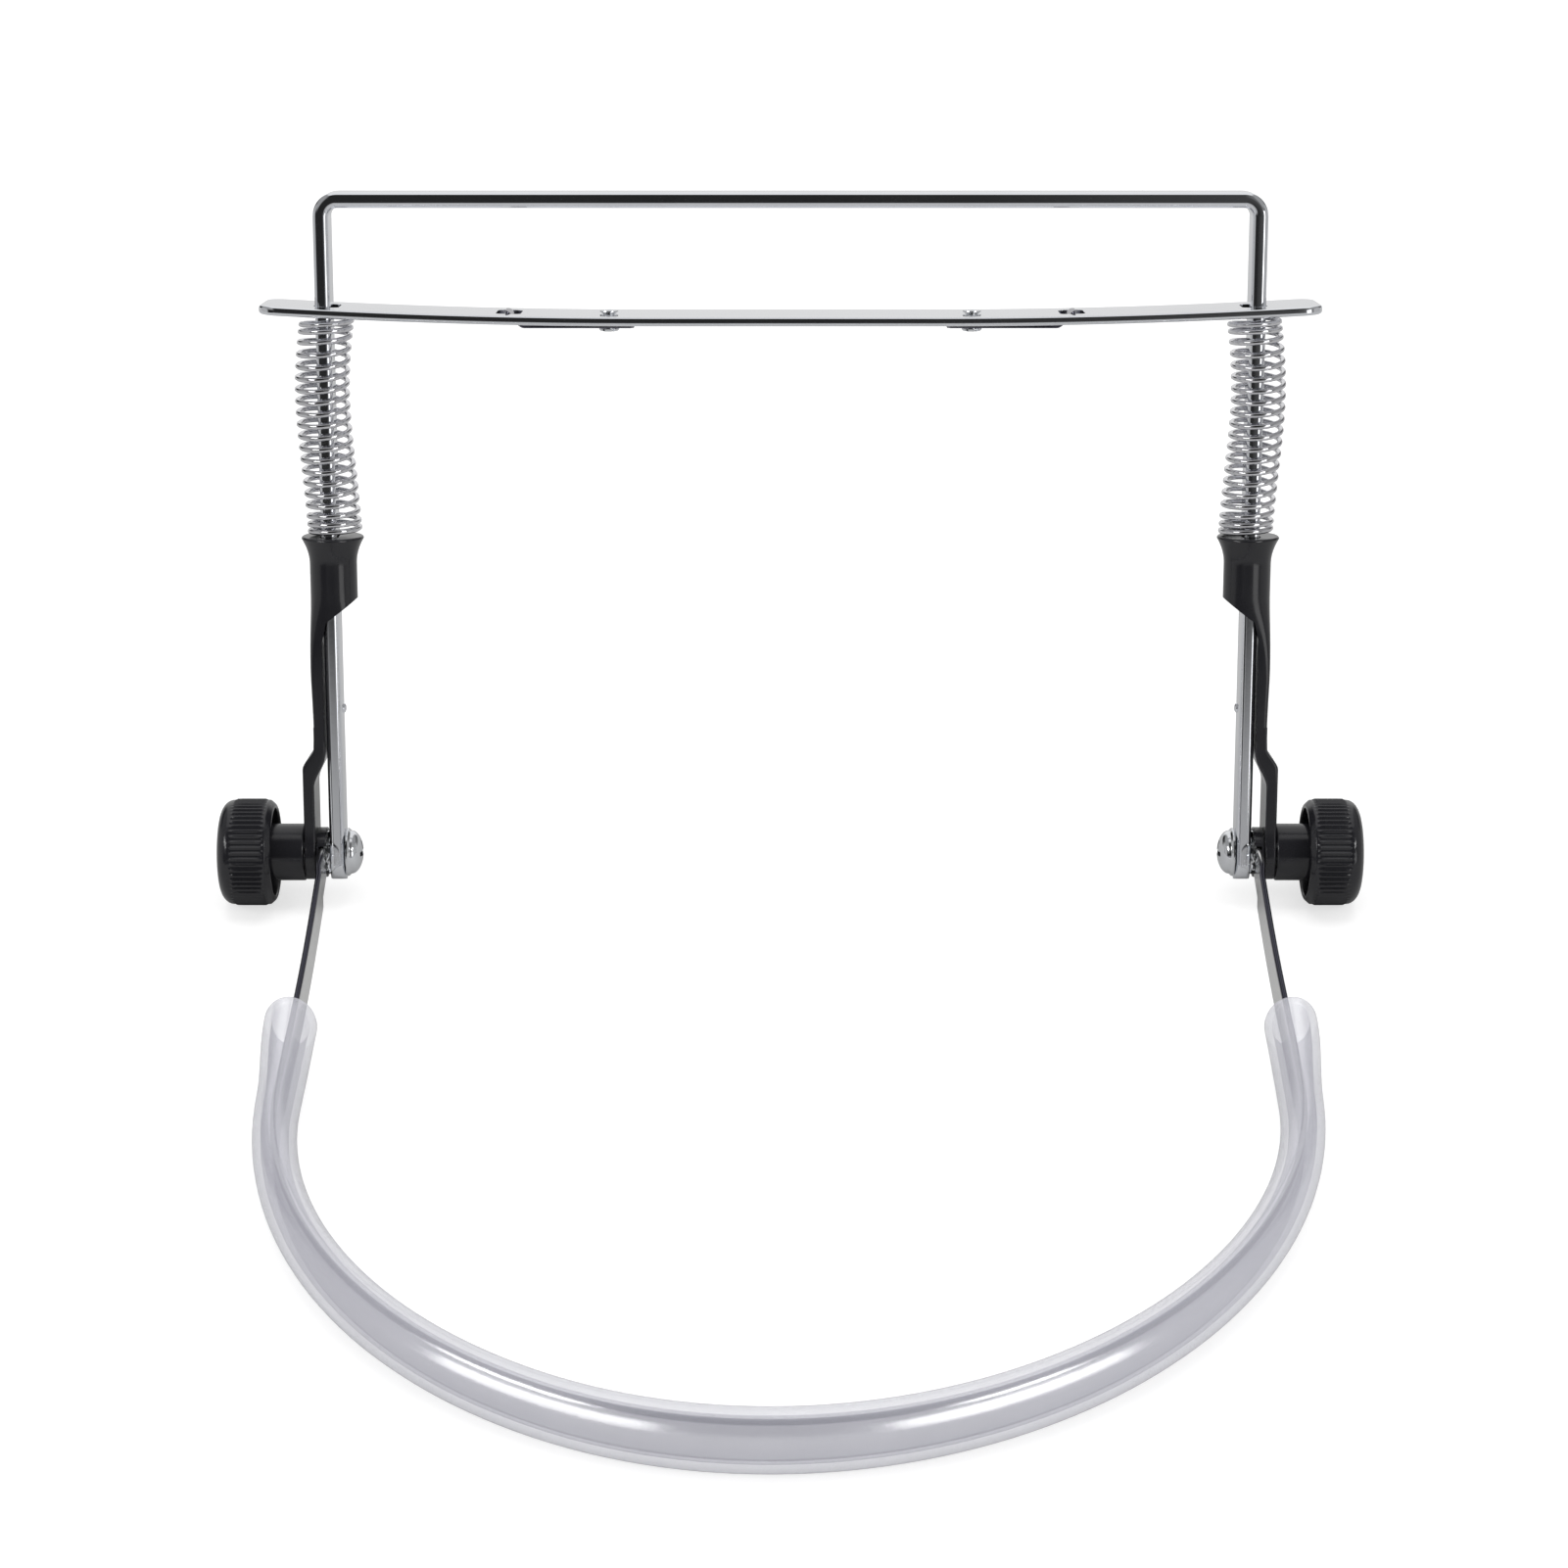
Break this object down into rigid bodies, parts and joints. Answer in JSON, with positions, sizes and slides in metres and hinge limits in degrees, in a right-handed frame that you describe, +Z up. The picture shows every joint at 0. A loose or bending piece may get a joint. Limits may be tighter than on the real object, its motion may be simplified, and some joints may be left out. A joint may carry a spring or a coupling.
{
  "type": "harmonica holder",
  "caption": "Neck-worn harmonica holder: sprung tray and crossbar clamp on two tilting arms with ribbed knobs, carried by a sleeved neck loop.",
  "frame": {"origin": "on the surface it stands on, under the middle of its bounding box", "axes": "+Z up; +X to the right along the crossbar and the pivots' line; the neck loop reaches towards -Y, and the arms lean back towards +Y"},
  "size_m": [0.2458, 0.2416, 0.148],
  "materials": {
    "chrome": "bright plated",
    "spring_steel": "bright nickel-plated spring steel",
    "bare_steel": "bare drawn strip",
    "zinc": "bright zinc plated",
    "brass": "turned and threaded",
    "black_plastic": "moulded, glossy black",
    "soft_sleeve": "soft translucent grey tube"
  },
  "bodies": {
    "yoke": {"neck_band": "bare_steel", "neck_sleeve": "soft_sleeve", "friction_disc_left": "black_plastic", "friction_disc_right": "black_plastic"},
    "arm_frame": {"clamp_bail": "chrome", "arm_left": "black_plastic", "arm_right": "black_plastic", "pivot_screw_left": "zinc", "pivot_screw_right": "zinc", "star_washer_left": "zinc", "star_washer_right": "zinc", "coil_spring_left": "spring_steel", "coil_spring_right": "spring_steel"},
    "tray": {"tray_plate": "chrome", "leaf_rivet_left": "zinc", "leaf_rivet_right": "zinc"},
    "leaf_left": {"leaf_spring_left": "spring_steel"},
    "leaf_right": {"leaf_spring_right": "spring_steel"},
    "clamp_knob_left": {"knob_left": "black_plastic", "knob_insert_left": "brass"},
    "clamp_knob_right": {"knob_right": "black_plastic", "knob_insert_right": "brass"}
  },
  "joints": [
    {"name": "arm_tilt", "type": "hinge", "parent": "yoke", "child": "arm_frame", "pos_m": [0, 0.07738, 0.01155], "axis": [1, 0, 0], "range_deg": [-72, 79]},
    {"name": "tray_slide", "type": "slide", "parent": "arm_frame", "child": "tray", "axis": [0, 0.2823, 0.9593], "range_m": [-0.014, 0.018], "stiffness_N_per_m": 1500, "deforming": ["coil_spring_left", "coil_spring_right"]},
    {"name": "leaf_left_press", "type": "hinge", "parent": "tray", "child": "leaf_left", "pos_m": [-0.038, 0.10946, 0.12053], "axis": [0, -0.9593, 0.2823], "range_deg": [0, 2.2], "stiffness_Nm_per_rad": 2.8},
    {"name": "leaf_right_press", "type": "hinge", "parent": "tray", "child": "leaf_right", "pos_m": [0.038, 0.10946, 0.12053], "axis": [0, 0.9593, -0.2823], "range_deg": [0, 2.2], "stiffness_Nm_per_rad": 2.8},
    {"name": "knob_left_turn", "type": "hinge", "parent": "arm_frame", "child": "clamp_knob_left", "pos_m": [-0.112, 0.07738, 0.01155], "axis": [-1, 0, 0], "range_deg": [0, 270]},
    {"name": "knob_right_turn", "type": "hinge", "parent": "arm_frame", "child": "clamp_knob_right", "pos_m": [0.112, 0.07738, 0.01155], "axis": [1, 0, 0], "range_deg": [0, 270]}
  ]
}
